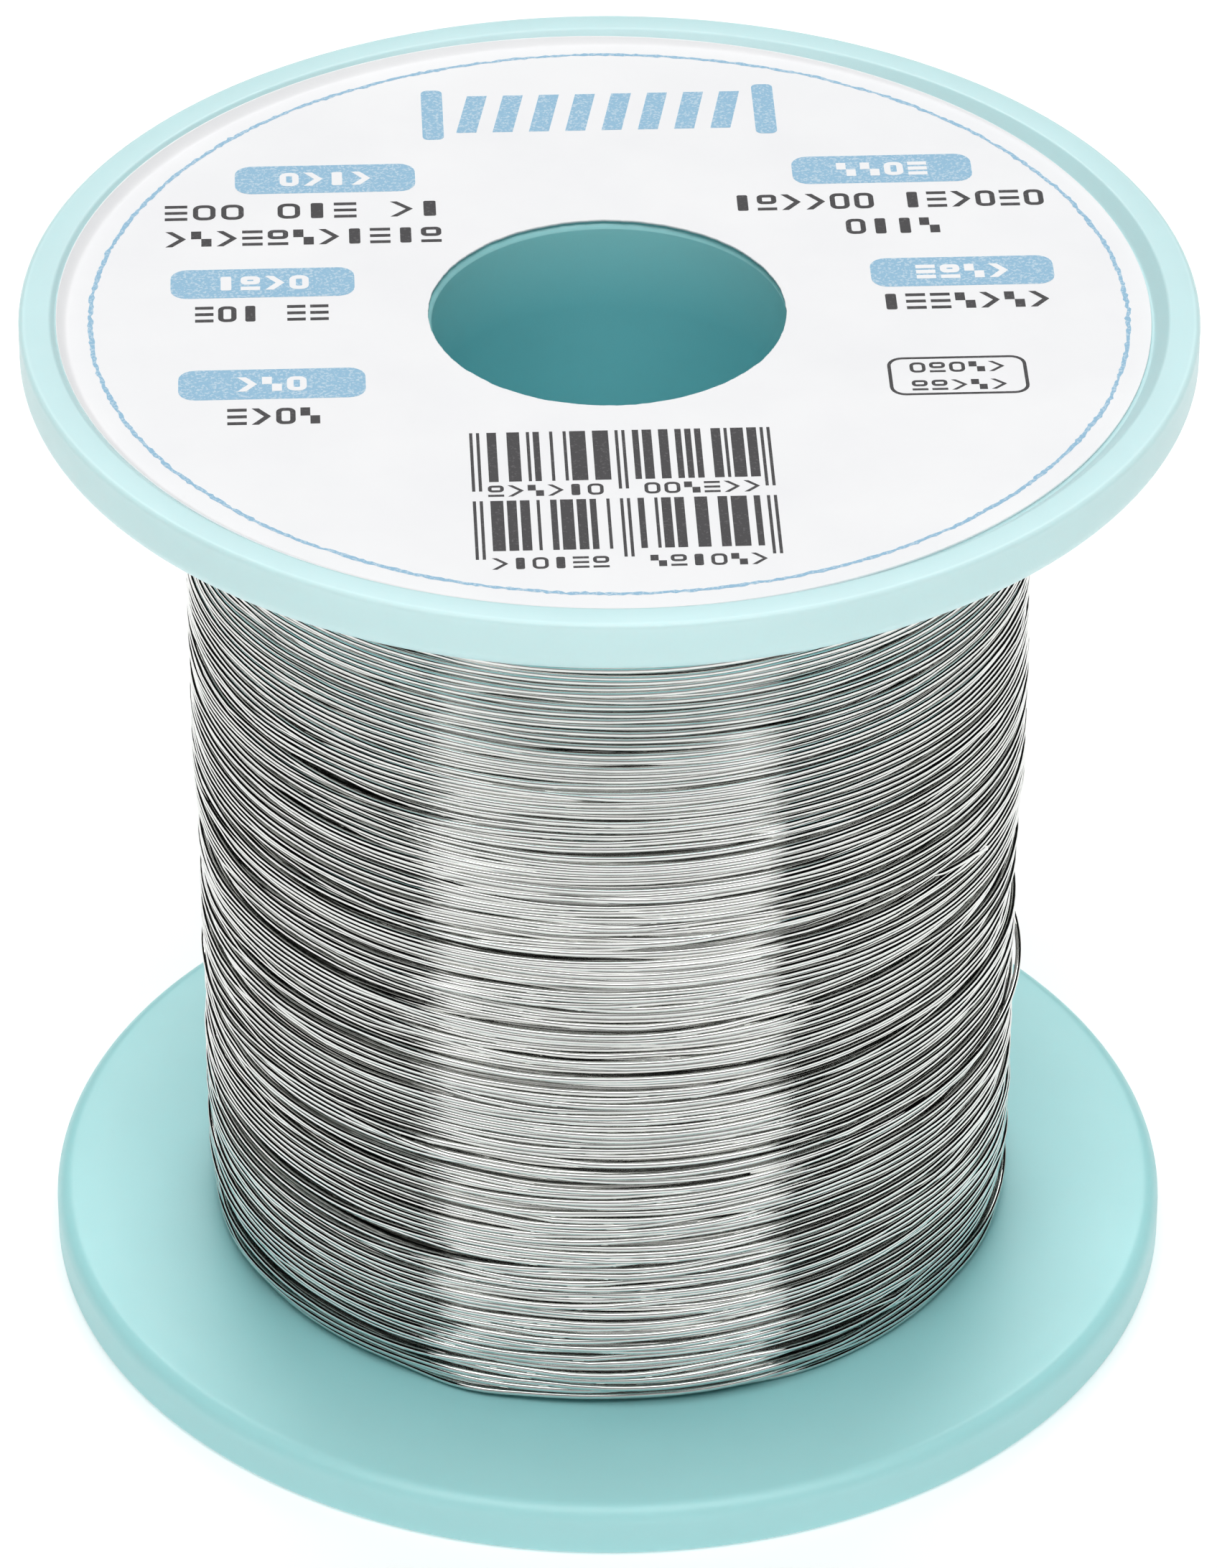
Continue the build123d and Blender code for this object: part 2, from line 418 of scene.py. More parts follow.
# ---------------------------------------------------------------------------
# Winding: every turn is laid on the ones before it, as a winding machine does
# ---------------------------------------------------------------------------
class Winding:
    """Turns of wire as heights and radii at TURN_STEPS angles, from the back round by -X."""

    window = 0.36        # how far a turn may slide from where the guide lays it
    step = 0.03          # how finely its places within the window are tried
    slip = 2             # most steps of height from one point to the next
    pull = 0.4           # how much the wire's tension draws it down between its neighbours
    stray = 4.0          # how firmly the guide holds it in place
    climb = 2.0          # how much it avoids riding on a neighbour
    bend = 12.0          # how stiff it is
    hold = 40            # how firmly it starts where the turn before it ended
    press = 0.6          # how far the tension flattens a turn that rides too high
    recent = 420         # turns back that can still be next to a new one
    reach = 1.3          # how near in height they have to be

    def __init__(self, base, limit):
        self.angles = np.linspace(-math.pi, math.pi, TURN_STEPS, endpoint=False)
        self.base = base
        self.limit = limit
        self.heights = []
        self.radii = []
        self.offsets = np.arange(-self.window, self.window + self.step / 2, self.step)

    def neighbours(self, centre):
        """Turns laid so far whose middle is near this height."""
        first = max(0, len(self.heights) - self.recent)
        near = [i for i, z in enumerate(self.heights[first:], first)
                if abs(z[::24].mean() - centre) < self.reach]
        if not near:
            return np.zeros((0, TURN_STEPS)), np.zeros((0, TURN_STEPS))
        return np.array([self.heights[i] for i in near]), np.array([self.radii[i] for i in near])

    def contact(self, heights, laid_z, laid_r):
        """Smallest radius at which wire at these heights, by angle and choice, clears what is laid."""
        floor = self.base(self.angles[:, None], heights) + WIRE / 2
        if len(laid_z):
            gap = heights[None] - laid_z[:, :, None]
            touch = laid_r[:, :, None] + np.sqrt(np.maximum(WIRE ** 2 - gap ** 2, 0))
            touch = np.where(np.abs(gap) < WIRE, touch, 0)
            floor = np.maximum(floor, touch.max(axis=0))
        return floor

    def settle(self, guide, laid_z, laid_r, start):
        """The path near the guide that pulls in furthest, by dynamic programming."""
        choices = np.clip(guide[:, None] + self.offsets, LOWEST_TURN, HIGHEST_TURN)
        radius = self.contact(choices, laid_z, laid_r)
        cost = self.pull * radius + self.stray * self.offsets ** 2
        cost += self.climb * np.maximum(radius - np.median(radius) - 0.08, 0)
        count = len(self.offsets)
        best = cost[0].copy()
        if start is not None:
            best = best + self.hold * (choices[0] - start) ** 2
        back = np.zeros((TURN_STEPS, count), int)
        moves = range(-self.slip, self.slip + 1)
        for t in range(1, TURN_STEPS):
            drift = guide[t] - guide[t - 1]
            padded = np.pad(best, self.slip, constant_values=1e6)
            options = np.stack([padded[self.slip + m:self.slip + m + count]
                                + self.bend * (drift - m * self.step) ** 2 for m in moves])
            pick = options.argmin(axis=0)
            back[t] = pick - self.slip
            best = options[pick, np.arange(count)] + cost[t]
        path = np.zeros(TURN_STEPS, int)
        path[-1] = best.argmin()
        for t in range(TURN_STEPS - 1, 0, -1):
            path[t - 1] = path[t] + back[t][path[t]]
        return choices[np.arange(TURN_STEPS), path]

    def smooth(self, z):
        """The heights without corners, running on from the turn before."""
        lead = self.heights[-1][-8:] if self.heights else np.full(8, z[0])
        kernel = np.array([1, 2, 3, 4, 3, 2, 1], float)
        kernel /= kernel.sum()
        joined = np.concatenate([lead, z, np.full(3, z[-1])])
        return np.convolve(joined, kernel, mode="same")[8:-3]

    def lay(self, guide):
        """Lay one turn along the guide."""
        laid_z, laid_r = self.neighbours(guide.mean())
        start = self.heights[-1][-1] if self.heights else None
        z = self.smooth(self.settle(guide, laid_z, laid_r, start))
        r = self.contact(z[:, None], laid_z, laid_r)[:, 0]
        r = self.taut(r)
        r = r - self.press * np.maximum(r - self.limit(z), 0)
        self.heights.append(z)
        self.radii.append(r)

    def taut(self, r):
        """The wire bridges hollows in straight lines, because it is wound under tension."""
        lead = self.radii[-1][-24:] if self.radii else r[:0]
        joined = np.concatenate([lead, r])
        pitch = 2 * math.pi / TURN_STEPS
        for _ in range(3):
            for reach in (8, 4, 2, 1):
                before, after = joined[:-2 * reach], joined[2 * reach:]
                chord = 2 * before * after * math.cos(reach * pitch) / (before + after)
                joined[reach:-reach] = np.maximum(joined[reach:-reach], chord)
        return joined[len(lead):]


# unevenness of the layers below: wave length in height, turns round, phase and size
UNDULATIONS = [(2.3, 1, 0.3, 0.03), (3.1, -1, 2.0, 0.04), (4.3, 2, 4.1, 0.03), (6.7, -2, 1.2, 0.02)]


def winding_base(angles, heights):
    """Radius of the layers below: uneven, fuller at the upper flange and thin near the lower one."""
    shape = np.broadcast(angles, heights).shape
    radius = np.full(shape, WINDING_R - WIRE - LAID_DEPTH)
    for wave, turns, phase, size in UNDULATIONS:
        radius = radius + size * np.sin(2 * math.pi * heights / wave + turns * angles + phase)
    crest = np.clip((heights - CREST_START) / CREST_RUN, 0, 1)
    hollow = np.exp(-((heights - HOLLOW_HEIGHT) / HOLLOW_REACH) ** 2)
    return radius + CREST_RISE * crest ** 2 * (3 - 2 * crest) - HOLLOW_DEPTH * hollow


def winding_limit(heights):
    """Radius past which a turn that rides on others is pressed down by the tension."""
    above_step = np.clip((heights - LAST_LAYER_END + 1.0) / 2.0, 0, 1)
    crest = np.clip((heights - CREST_START) / CREST_RUN, 0, 1)
    return WINDING_R - WIRE / 2 - LIMIT_DROP + LIMIT_STEP * above_step + LIMIT_CREST * crest


def wander(turns, sway, shake, memory=7):
    """How the guide strays: a sway that neighbouring turns share, and a shake of each one's own."""
    angles = winding.angles
    error = np.zeros((turns, TURN_STEPS))
    for harmonic in (1, 2, 3, 4):
        phase = rng.uniform(0, 2 * math.pi) + np.cumsum(rng.normal(0, 1 / memory, turns))
        swell = 0.7 + 0.3 * np.sin(np.cumsum(rng.normal(0, 1.5 / memory, turns)))
        strength = sway / harmonic ** 0.7 * swell
        error += strength[:, None] * np.cos(harmonic * angles[None] + phase[:, None])
    for harmonic in (1, 2, 3, 4, 5):
        swing = rng.normal(0, shake / harmonic ** 0.7, (2, turns, 1))
        error += swing[0] * np.cos(harmonic * angles[None]) + swing[1] * np.sin(harmonic * angles[None])
    return error


def lay_layer(start, end, pitch, sway, shake):
    """Lay turns from one height to another; returns the first turn's number and one past the last's."""
    first = len(winding.heights)
    direction = math.copysign(1, end - start)
    turns = int(abs(end - start) / pitch)
    errors = wander(turns, sway, shake)
    share = np.arange(TURN_STEPS) / TURN_STEPS
    for turn in range(turns):
        winding.lay(start + direction * pitch * (turn + share) + errors[turn])
    return first, len(winding.heights)


rng = np.random.default_rng(11)
winding = Winding(winding_base, winding_limit)
lay_layer(LOWEST_TURN, HIGHEST_TURN, pitch=0.32, sway=0.05, shake=0.04)
second_layer = lay_layer(HIGHEST_TURN, LOWEST_TURN, pitch=0.32, sway=0.05, shake=0.04)
third_layer = lay_layer(LOWEST_TURN, HIGHEST_TURN, pitch=0.34, sway=0.25, shake=0.07)
fourth_layer = lay_layer(HIGHEST_TURN, LOWEST_TURN, pitch=0.34, sway=0.25, shake=0.07)
fifth_layer = lay_layer(LOWEST_TURN, HIGHEST_TURN, pitch=0.34, sway=0.25, shake=0.07)
last_layer = lay_layer(HIGHEST_TURN, LAST_LAYER_END, pitch=0.35, sway=0.25, shake=0.08)


def wire_piece(name, heights, radii, angles, sides):
    """A closed tube along the given points; angles run on past a full turn."""
    count = len(heights)
    around = np.linspace(0, 2 * math.pi, sides, endpoint=False)[None, :, None]
    out = np.stack([np.sin(angles), -np.cos(angles), np.zeros(count)], axis=-1)
    centre = radii[:, None] * out + heights[:, None] * np.array([0, 0, 1.0])
    ahead = np.gradient(centre, axis=0)
    ahead /= np.linalg.norm(ahead, axis=1)[:, None]
    side = np.cross(ahead, out)
    side /= np.linalg.norm(side, axis=1)[:, None]
    lift = np.cross(side, ahead)
    ring = centre[:, None] + WIRE / 2 * (np.cos(around) * lift[:, None] + np.sin(around) * side[:, None])
    verts = ring.reshape(-1, 3)
    i, j = np.meshgrid(np.arange(count - 1), np.arange(sides), indexing="ij")
    k = (j + 1) % sides
    faces = np.stack([i * sides + j, i * sides + k, (i + 1) * sides + k, (i + 1) * sides + j], axis=-1)
    ends = []
    for first in (0, (count - 1) * sides):
        middle = len(verts)
        verts = np.vstack([verts, verts[first:first + sides].mean(axis=0)])
        for j in range(0, sides, 2):
            quad = [middle, first + j, first + (j + 1) % sides, first + (j + 2) % sides]
            ends.append(quad if first else quad[::-1])
    faces = np.vstack([faces.reshape(-1, 4), np.array(ends)])
    return mesh_piece(name, verts, faces, solder)


def layer_pieces(name, span, parts, sides, node):
    """One layer as a few long tubes, so that no mesh is too heavy; they stand for the CAD node."""
    cuts = [span[0] + round((span[1] - span[0]) * i / parts) for i in range(parts + 1)]
    for number, (first, last) in enumerate(zip(cuts, cuts[1:]), 1):
        until = min(last + 1, span[1])
        heights = np.concatenate([winding.heights[i] for i in range(first, until)])
        radii = np.concatenate([winding.radii[i] for i in range(first, until)])
        if until > last:
            keep = (last - first) * TURN_STEPS + 1
            heights, radii = heights[:keep], radii[:keep]
        angles = -math.pi + np.arange(len(heights)) * 2 * math.pi / TURN_STEPS
        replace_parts(wire_piece(f"{name}_{number}", heights, radii, angles, sides), node)


def loose_wire(name, knots):
    """A single wire through (angle in degrees, height, radius) knots; angle 0 is -Y, 90 is +X."""
    knots = np.array(knots, float)
    steps = 96
    angles = np.linspace(knots[0, 0], knots[-1, 0], steps)
    kernel = np.hanning(15)
    kernel /= kernel.sum()
    heights, radii = (np.convolve(np.pad(np.interp(angles, knots[:, 0], knots[:, i]), 7, mode="edge"),
                                  kernel, mode="valid") for i in (1, 2))
    return wire_piece(name, heights, radii, np.radians(angles), 12)


layer_pieces("wire_last_layer", last_layer, parts=1, sides=8, node="wire_outer_layer")
layer_pieces("wire_fifth_layer", fifth_layer, parts=2, sides=8, node="wire_outer_layer")
slack_turn = loose_wire("wire_slack_turn_strand", [
    (20, 15.35, 18.85), (45, 15.45, 19.05), (68, 15.52, 19.27), (90, 15.6, 19.42),
    (112, 15.68, 19.3), (135, 15.75, 19.05), (160, 15.8, 18.85)])
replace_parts(slack_turn, "wire_slack_turn")
free_end = loose_wire("wire_free_end", [
    (49, 27.95, 18.75), (52, 27.8, 19.1), (55, 27.72, 19.24), (59, 27.5, 19.28),
    (62, 27.22, 19.3), (63.6, 26.98, 19.26), (64.6, 26.72, 19.0), (65.2, 26.5, 18.7)])
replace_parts(free_end, "wire_outer_layer")
layer_pieces("wire_fourth_layer", fourth_layer, parts=2, sides=8, node="wire_inner_layers")
layer_pieces("wire_third_layer", third_layer, parts=2, sides=8, node="wire_inner_layers")
layer_pieces("wire_second_layer", second_layer, parts=2, sides=6, node="wire_inner_layers")

# the inner end of the wire stays the CAD node, in the same solder
frame["nodes"]["wire_start_tail"].material_slots[0].material = solder


# ---------------------------------------------------------------------------
# Labels
# ---------------------------------------------------------------------------
def paper_height(x, y):
    """Height of a label's printed face above the recess floor; its margin bends up the wall."""
    radius = np.hypot(x, y)
    slope = RECESS / (RECESS_MOUTH_R - RECESS_FLOOR_R)
    over = radius - (RECESS_FLOOR_R - 0.12)
    bent = np.where(over > 0, slope * over ** 2 / (over + 0.25), 0)
    return PAPER + bent


def smoothed_ring(values, width):
    """Values round a circle, each averaged with its neighbours over the given width."""
    count = len(values)
    return np.convolve(np.tile(values, 3), np.ones(width) / width, mode="same")[count:-count]


def label_piece(name, shift, level, flip):
    """A round paper label with its margin bent along the recess wall and a slightly ragged hole."""
    rings = [LABEL_HOLE_R, LABEL_HOLE_R + 0.03, LABEL_HOLE_R + 0.1]
    rings += list(np.linspace(9.0, 23.6, 14))
    rings += list(np.linspace(23.8, LABEL_R - 0.03, 12)) + [LABEL_R]
    segments = 360
    angles = np.linspace(0, 2 * math.pi, segments, endpoint=False)
    ragged = smoothed_ring(np.random.default_rng(5).normal(0, 0.02, segments), 3)
    layers = []
    for thickness in (0, PAPER):
        for index, ring in enumerate(rings):
            share = index / (len(rings) - 1)
            radius = ring + (ragged if index < 2 else 0)
            x = radius * np.sin(angles) + shift[0] * share + LABEL_HOLE_SHIFT.x * (1 - share)
            y = -radius * np.cos(angles) + shift[1] * share + LABEL_HOLE_SHIFT.y * (1 - share)
            z = level + flip * (paper_height(x, y) - PAPER + thickness)
            layers.append(np.stack([x, y, z], axis=-1))
    order = list(range(len(rings))) + list(range(2 * len(rings) - 1, len(rings) - 1, -1))
    verts = np.concatenate([layers[i] for i in order])
    count = len(order)
    j, i = np.meshgrid(np.arange(count), np.arange(segments), indexing="ij")
    m, k = (j + 1) % count, (i + 1) % segments
    faces = np.stack([j * segments + i, j * segments + k, m * segments + k, m * segments + i], axis=-1)
    faces = faces.reshape(-1, 4)
    if flip < 0:
        faces = faces[:, ::-1]
    return mesh_piece(name, verts, faces, paper)


top_paper = label_piece("top_label_paper", LABEL_SHIFT, HEIGHT - RECESS, 1)
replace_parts(top_paper, "top_label")
bottom_paper = label_piece("bottom_label_paper", Vector((0, 0)), RECESS, -1)
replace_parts(bottom_paper, "bottom_label")


# where a label's print lies: sideways shift, height of the recess floor, 1 for a label that faces
# up or -1 for one that faces down, and the turn of the print
Face = namedtuple("Face", "shift level flip turn")
TOP_FACE = Face((0, 0.08), HEIGHT - RECESS, 1, PRINT_TURN)
BOTTOM_FACE = Face((0, 0), RECESS, -1, 0)


class Print:
    """Flat printed shapes collected into one thin mesh on a label."""

    kinds = ("levels", "open box", "lifted box", "chevron", "steps", "block")

    def __init__(self):
        self.verts, self.faces = [], []

    def strip(self, outer, inner):
        """A band between two outlines with the same number of points, closed into a loop."""
        self.band(list(outer) + [outer[0]], list(inner) + [inner[0]])

    def band(self, one, other):
        """A band between two open lines with the same number of points."""
        start = len(self.verts)
        self.verts += [p for pair in zip(one, other) for p in pair]
        for i in range(len(one) - 1):
            a = start + 2 * i
            self.faces.append((a, a + 1, a + 3, a + 2))

    def box(self, x, y, width, height, corner=0.0):
        """A filled rectangle, with rounded corners if asked."""
        left, right = [], []
        levels = [(0.0, 0.0)]
        if corner:
            levels = [(corner * (1 - math.sin(a)), corner * (1 - math.cos(a)))
                      for a in np.linspace(0, math.pi / 2, 6)]
        rows = [(-height / 2 + down, inset) for inset, down in levels]
        rows += [(-row, inset) for row, inset in reversed(rows)]
        for row, inset in rows:
            left.append((x - width / 2 + inset, y + row))
            right.append((x + width / 2 - inset, y + row))
        self.band(left, right)

    def frame_box(self, x, y, width, height, corner, stroke):
        """The outline of a rounded rectangle."""
        def outline(inset):
            r = max(corner - inset, 0.05)
            w, h = width / 2 - inset - r, height / 2 - inset - r
            points = []
            for cx, cy, start in ((w, h, 0), (-w, h, 90), (-w, -h, 180), (w, -h, 270)):
                points += [(x + px, y + py) for px, py in arc((cx, cy), r, start, start + 90, 6)]
            return points
        self.strip(outline(0), outline(stroke))

    def slanted_bar(self, x, y, width, height, slant):
        """A bar that leans to the right by the slant."""
        foot, head = y - height / 2, y + height / 2
        self.band([(x - width / 2 - slant / 2, foot), (x - width / 2 + slant / 2, head)],
                  [(x + width / 2 - slant / 2, foot), (x + width / 2 + slant / 2, head)])

    def sign(self, kind, x, y, width, height, stroke):
        """A mark the size of a character that belongs to no alphabet."""
        if kind == "levels":
            for level in (-1, 0, 1):
                self.box(x, y + level * (height - stroke) / 2, width, stroke)
        elif kind == "open box":
            self.frame_box(x, y, width, height, 0.4 * width, stroke)
        elif kind == "lifted box":
            self.frame_box(x, y + 0.2 * height, width, 0.6 * height, 0.3 * width, stroke)
            self.box(x, y - (height - stroke) / 2, width, stroke)
        elif kind == "block":
            self.box(x, y, 0.55 * width, height, 0.1)
        elif kind == "steps":
            for side in (-1, 1):
                self.box(x + side * width / 4, y - side * height / 4, width / 2, height / 2)
        elif kind == "chevron":
            thick = 1.3 * stroke
            for side in (-1, 1):
                self.slanted_bar(x, y + side * height / 4, thick, height / 2, -side * (width - thick))

    def signs(self, x, y, width, height, words, stroke, source):
        """A centred line of marks in place of writing; words are numbers of marks."""
        pitch = width / (sum(words) + len(words) - 1)
        place = x - width / 2 + pitch / 2
        for word in words:
            for _ in range(word):
                self.sign(source.choice(self.kinds), place, y, 0.8 * pitch, height, stroke)
                place += pitch
            place += pitch

    def spool_sign(self, x, y, width, height):
        """A pictogram of a wound spool: two end plates with slanted turns between."""
        plate = 0.06 * width
        for side in (-1, 1):
            self.box(x + side * (width - plate) / 2, y, plate, height, 0.3)
        turns = 8
        pitch = (width - 3 * plate) / turns
        for turn in range(turns):
            middle = x + (turn - (turns - 1) / 2) * pitch
            self.slanted_bar(middle, y, 0.55 * pitch, 0.74 * height, 0.35 * pitch)

    def bar_code(self, x, width, head, foot, guard_foot, source):
        """Upright bars of random widths, with longer pairs at both ends and in the middle."""
        thin, gap = 0.14, 0.16
        pair = 2 * thin + gap
        for start in (x - width / 2, x - pair / 2, x + width / 2 - pair):
            for place in (start + thin / 2, start + pair - thin / 2):
                self.box(place, (head + guard_foot) / 2, thin, head - guard_foot)
        for start in (x - width / 2 + pair + 2 * gap, x + pair / 2 + 2 * gap):
            place, stop = start, start + (width - 3 * pair) / 2 - 3 * gap
            while place < stop:
                bar = min(source.choice((thin, 2 * thin, 3 * thin, 4 * thin, 5 * thin)), stop - place)
                self.box(place + bar / 2, (head + foot) / 2, bar, head - foot)
                place += bar + source.choice((0.15, 0.15, 0.3, 0.45))

    def finish(self, name, material, face, lift):
        """Turn the print with the label and lay it on the paper as a very thin solid."""
        flat = np.array(self.verts, float)
        cos, sin = math.cos(face.turn), math.sin(face.turn)
        x = face.flip * (flat[:, 0] * cos - flat[:, 1] * sin) + face.shift[0]
        y = flat[:, 0] * sin + flat[:, 1] * cos + face.shift[1]
        base = paper_height(x, y) + lift
        lower = np.stack([x, y, face.level + face.flip * base], axis=-1)
        upper = np.stack([x, y, face.level + face.flip * (base + INK)], axis=-1)
        count = len(flat)
        quads = np.array(self.faces)
        area = np.zeros(len(quads))
        for a, b in ((0, 1), (1, 2), (2, 3), (3, 0)):
            area += x[quads[:, a]] * y[quads[:, b]] - x[quads[:, b]] * y[quads[:, a]]
        quads[area < 0] = quads[area < 0][:, ::-1]
        edges = {}
        for quad in quads:
            for a, b in zip(quad, np.roll(quad, -1)):
                edges[(int(a), int(b))] = True
        sides = [(a, b, b + count, a + count) for a, b in edges if (b, a) not in edges]
        faces = np.vstack([quads + count, quads[:, ::-1], np.array(sides)])
        if face.flip < 0:
            faces = faces[:, ::-1]
        return mesh_piece(name, np.vstack([lower, upper]), faces, material, smooth=False)


def ragged_ring(sheet, radius, stroke, seed):
    """The printed ring near the label's edge; a coarse printer makes it slightly uneven."""
    ring_rng = np.random.default_rng(seed)
    steps = 720
    waves = smoothed_ring(ring_rng.normal(0, 0.05, steps), 9)
    grit = ring_rng.normal(0, 0.03, (2, steps))
    angles = np.linspace(0, 2 * math.pi, steps, endpoint=False)
    outer = radius + stroke / 2 + waves + grit[0]
    inner = radius - stroke / 2 + waves + grit[1]
    sheet.strip([(r * math.cos(a), r * math.sin(a)) for r, a in zip(outer, angles)],
                [(r * math.cos(a), r * math.sin(a)) for r, a in zip(inner, angles)])


# the print, in millimetres from the middle of the label
RING_R = 23.3
RING_STROKE = 0.2
BADGE = (8.3, 2.5, 0.75)        # width, height, corner radius
LINE_HEIGHT = 1.35
ON_PAPER = 0.002                # how far ink stands off what it is printed on
ON_BADGE = ON_PAPER + INK + 0.001
# each badge: its middle and its number of marks
BADGES = [(-12.6, 12.2, 4), (-15.55, 3.0, 4), (-15.2, -5.7, 3), (13.1, 12.1, 4), (16.1, 2.8, 4)]
# each printed line: its middle, its width, its height, and its words as numbers of marks
LINES = [
    (-13.65, 9.35, 12.9, LINE_HEIGHT, (3, 3, 2)),
    (-13.65, 7.0, 12.8, LINE_HEIGHT, (11,)),
    (-15.6, 0.35, 6.2, LINE_HEIGHT, (3, 2)),
    (-15.15, -8.4, 4.3, LINE_HEIGHT, (4,)),
    (13.2, 9.25, 14.5, 1.4, (6, 6)),
    (13.25, 6.95, 4.5, LINE_HEIGHT, (4,)),
    (16.05, 0.25, 7.8, LINE_HEIGHT, (7,)),
]
STAMP = (15.23, -6.17, 6.2, 3.2)        # framed box: middle, width, height
STAMP_ROWS = (-5.45, -6.95)             # heights of the two rows of marks in it
# each bar code: top of the bars, foot of the bars, foot of the long bars, middle of the marks below
BAR_CODES = [(-10.17, -14.2, -14.95, -14.95), (-15.74, -19.75, -20.4, -20.76)]
sign_rng = random.Random(21)


def top_blue_print():
    """The ring, the badges and the pictogram."""
    blue = Print()
    ragged_ring(blue, RING_R, RING_STROKE, seed=3)
    for x, y, _ in BADGES:
        blue.box(x, y, *BADGE)
    blue.spool_sign(0.24, 17.9, 16.5, 4.6)
    blue.finish("top_label_blue_print", blue_ink, TOP_FACE, ON_PAPER)


def badge_marks():
    """The white marks in the badges."""
    white = Print()
    for x, y, count in BADGES:
        white.signs(x, y, 1.1 * count, 1.2, (count,), 0.3, sign_rng)
    white.finish("top_label_badge_marks", paper, TOP_FACE, ON_BADGE)


def top_black_print():
    """The lines of marks, the framed stamp and the bar codes."""
    black = Print()
    for x, y, width, height, words in LINES:
        black.signs(x, y, width, height, words, 0.24, sign_rng)
    black.frame_box(*STAMP, 0.7, 0.16)
    for y in STAMP_ROWS:
        black.signs(STAMP[0], y, 4.4, 0.85, (5,), 0.16, sign_rng)
    for head, foot, guard_foot, marks in BAR_CODES:
        black.bar_code(0, 13.2, head, foot, guard_foot, sign_rng)
        for side in (-1, 1):
            black.signs(3.4 * side, marks, 5.2, 0.9, (6,), 0.16, sign_rng)
    black.finish("top_label_black_print", black_ink, TOP_FACE, ON_PAPER)


def bottom_print():
    """The plainer print of the lower label."""
    blue = Print()
    ragged_ring(blue, RING_R, RING_STROKE, seed=4)
    blue.spool_sign(0, 15.5, 16.5, 4.6)
    blue.finish("bottom_label_blue_print", blue_ink, BOTTOM_FACE, ON_PAPER)
    black = Print()
    for y in (-12.0, -14.2, -16.4):
        black.signs(0, y, 16.0, LINE_HEIGHT, (5, 4, 4), 0.22, sign_rng)
    black.finish("bottom_label_black_print", black_ink, BOTTOM_FACE, ON_PAPER)


top_blue_print()
badge_marks()
top_black_print()
bottom_print()


# ---------------------------------------------------------------------------
# Floor, light and camera, in metres
# ---------------------------------------------------------------------------
FLOOR_REACH = 3.0
FLOOR_GAP = 0.00002             # below the object
FLOOR_GLOW = 0.32

SOFTBOX_HEIGHT = 1.5
SOFTBOX_STRIP = 0.45            # depth of each strip
SOFTBOX_RADIANCE = 3.2
# strips of the overhead softbox, wider towards the front: place in Y and half width
SOFTBOX_STRIPS = [(-0.90, 1.14), (-0.45, 0.83), (0.0, 0.57), (0.45, 0.33)]

STUDIO_DARK = 0.023             # level with the object, at its sides
# where the studio gets lighter: axis of the direction, start and end of the rise, and level
STUDIO_RISES = [("Z", 0.75, 0.95, 0.11), ("Y", 0.45, 0.80, 0.10)]

CAMERA_LENS = 189.23
CAMERA_SENSOR = 36.0
CAMERA_DISTANCE = 0.38476
CAMERA_RISE = math.radians(34.425)
CAMERA_ROLL = 0.0019
CAMERA_AIM = Vector((0, 0, 0.02458))


def floor_piece():
    """A large pale floor just under the object."""
    level = cad_box[0][2] - FLOOR_GAP
    signs = ((-1, -1), (1, -1), (1, 1), (-1, 1))
    corners = [(x * FLOOR_REACH, y * FLOOR_REACH, level) for x, y in signs]
    mesh = bpy.data.meshes.new("floor")
    mesh.from_pydata(corners, [], [(0, 1, 2, 3)])
    n = Nodes("floor")
    tint = n.ramp(n.noise(3), [(0.2, (0.84, 0.84, 0.84)), (0.8, (0.86, 0.86, 0.86))])
    n.link(tint, n.shader.inputs["Base Color"])
    n.shader.inputs["Roughness"].default_value = 0.8
    n.shader.inputs["Emission Color"].default_value = (1, 1, 1, 1)
    n.shader.inputs["Emission Strength"].default_value = FLOOR_GLOW
    mesh.materials.append(n.material)
    floor = bpy.data.objects.new("floor", mesh)
    bpy.context.scene.collection.objects.link(floor)


def area_light(name, place, target, width, height, power):
    """A rectangular lamp that faces its target."""
    data = bpy.data.lights.new(name, "AREA")
    data.shape = "RECTANGLE"
    data.size, data.size_y = width, height
    data.energy = power
    lamp = bpy.data.objects.new(name, data)
    lamp.location = place
    lamp.rotation_euler = (Vector(target) - Vector(place)).to_track_quat("-Z", "Y").to_euler()
    bpy.context.scene.collection.objects.link(lamp)


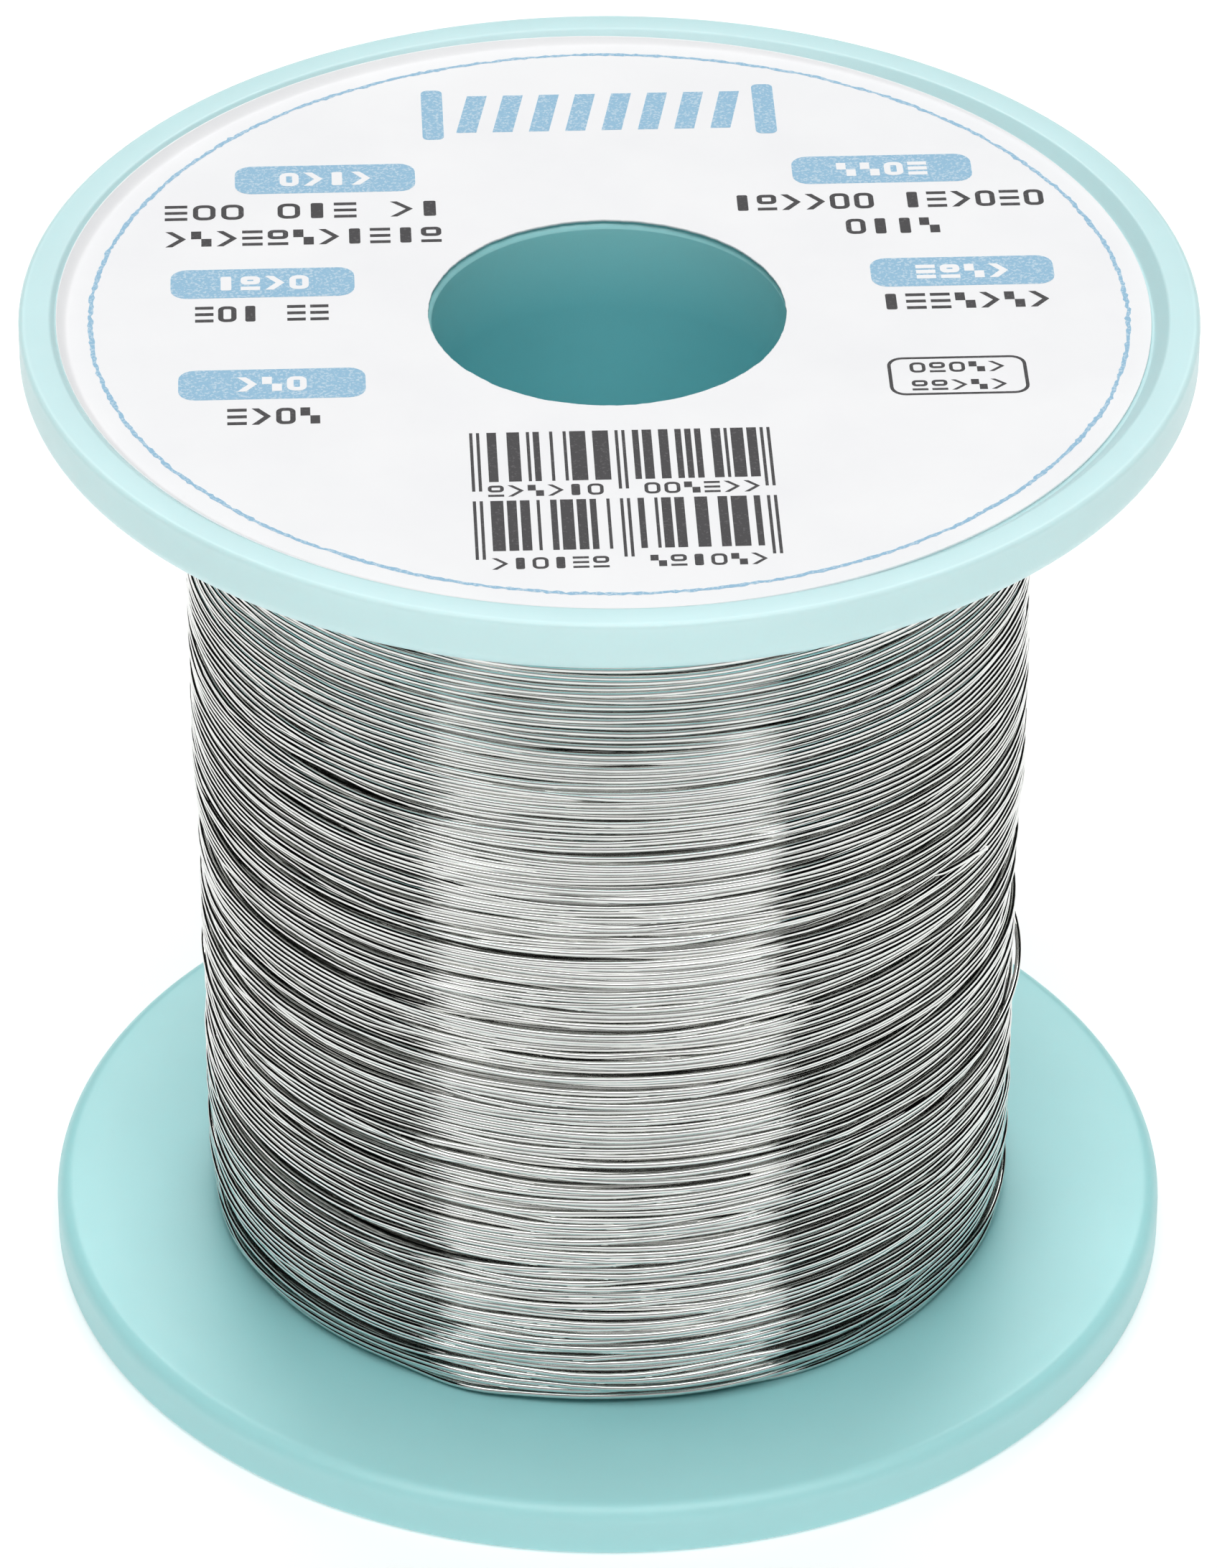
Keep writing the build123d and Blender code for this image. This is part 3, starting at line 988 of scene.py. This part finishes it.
def studio_lights():
    """Softbox overhead, a panel in front and a small softbox behind."""
    for number, (depth, reach) in enumerate(SOFTBOX_STRIPS, 1):
        power = SOFTBOX_RADIANCE * math.pi * 2 * reach * SOFTBOX_STRIP
        place = (0, depth, SOFTBOX_HEIGHT)
        area_light(f"top_softbox_{number}", place, (0, depth, 0), 2 * reach, SOFTBOX_STRIP, power)
    area_light("front_panel", place=(0.075, -1.7, 0.86), target=(0.075, 0, 0.86),
               width=3.32, height=1.72, power=6.0)
    area_light("back_softbox", place=(0, 1.2, 1.3), target=(0, 0, 0),
               width=1.1, height=0.6, power=11.0)


def studio_world():
    """Dim studio: dark level with the object at the sides, lighter overhead and behind."""
    world = bpy.data.worlds.new("studio")
    world.use_nodes = True
    tree = world.node_tree
    direction = tree.nodes.new("ShaderNodeTexCoord").outputs["Generated"]
    split = tree.nodes.new("ShaderNodeSeparateXYZ")
    tree.links.new(direction, split.inputs["Vector"])
    total = tree.nodes.new("ShaderNodeMath")
    total.operation = "ADD"
    for index, (axis, start, end, level) in enumerate(STUDIO_RISES):
        step = tree.nodes.new("ShaderNodeMapRange")
        step.interpolation_type = "SMOOTHSTEP"
        step.inputs["From Min"].default_value = start
        step.inputs["From Max"].default_value = end
        step.inputs["To Min"].default_value = STUDIO_DARK
        step.inputs["To Max"].default_value = level
        tree.links.new(split.outputs[axis], step.inputs["Value"])
        tree.links.new(step.outputs["Result"], total.inputs[index])
    tree.links.new(total.outputs["Value"], tree.nodes["Background"].inputs["Strength"])
    bpy.context.scene.world = world


def studio_camera():
    """A long lens that looks down on the front of the spool."""
    data = bpy.data.cameras.new("camera")
    data.lens = CAMERA_LENS
    data.sensor_width = CAMERA_SENSOR
    data.clip_start = 0.01
    camera = bpy.data.objects.new("camera", data)
    away = Vector((0, -math.cos(CAMERA_RISE), math.sin(CAMERA_RISE)))
    camera.matrix_world = (Matrix.Translation(CAMERA_AIM + away * CAMERA_DISTANCE)
                           @ away.to_track_quat("Z", "Y").to_matrix().to_4x4()
                           @ Matrix.Rotation(CAMERA_ROLL, 4, "Z"))
    bpy.context.scene.collection.objects.link(camera)
    bpy.context.scene.camera = camera


floor_piece()
studio_lights()
studio_world()
studio_camera()
bpy.context.scene.view_settings.view_transform = "Standard"
